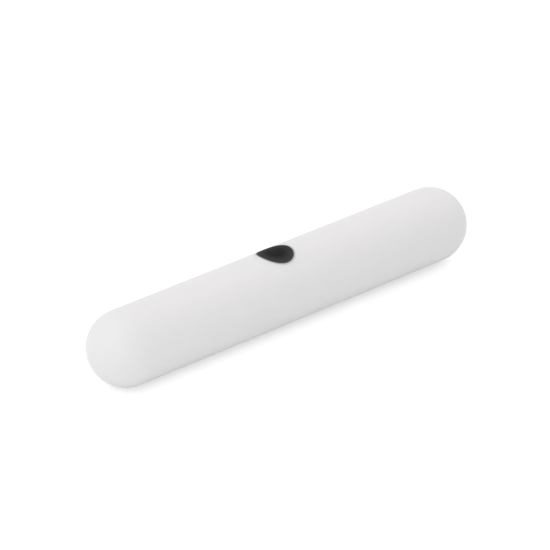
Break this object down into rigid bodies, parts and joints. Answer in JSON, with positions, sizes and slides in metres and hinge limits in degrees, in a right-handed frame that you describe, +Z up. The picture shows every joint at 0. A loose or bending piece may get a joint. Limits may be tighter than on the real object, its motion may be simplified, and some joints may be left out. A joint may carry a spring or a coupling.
{
  "type": "magnetic stir bar",
  "caption": "Magnetic stir bar: a smooth white PTFE rod with hemispherical ends, moulded round a sealed rod magnet, with a round black dot set flush in its side.",
  "frame": {"origin": "the middle of the bar: on its axis, halfway between the two round tips", "axes": "+X along the bar, so the magnet's poles face +X and -X; +Z up through the black dot, which sits 0.9 mm from the middle towards -X; Y across the bar"},
  "size_m": [0.05, 0.008, 0.008],
  "materials": {
    "white_ptfe": "white moulded PTFE, slightly translucent, with a satin, waxy surface",
    "black_ptfe": "near-black filled PTFE, matt, a little paler towards its rim",
    "magnet_alloy": "bare grey magnet alloy, ground round its side, hidden inside the jacket"
  },
  "bodies": {
    "root": {"ptfe_jacket": "white_ptfe", "magnet_core": "magnet_alloy", "marker_dot": "black_ptfe"}
  },
  "joints": []
}
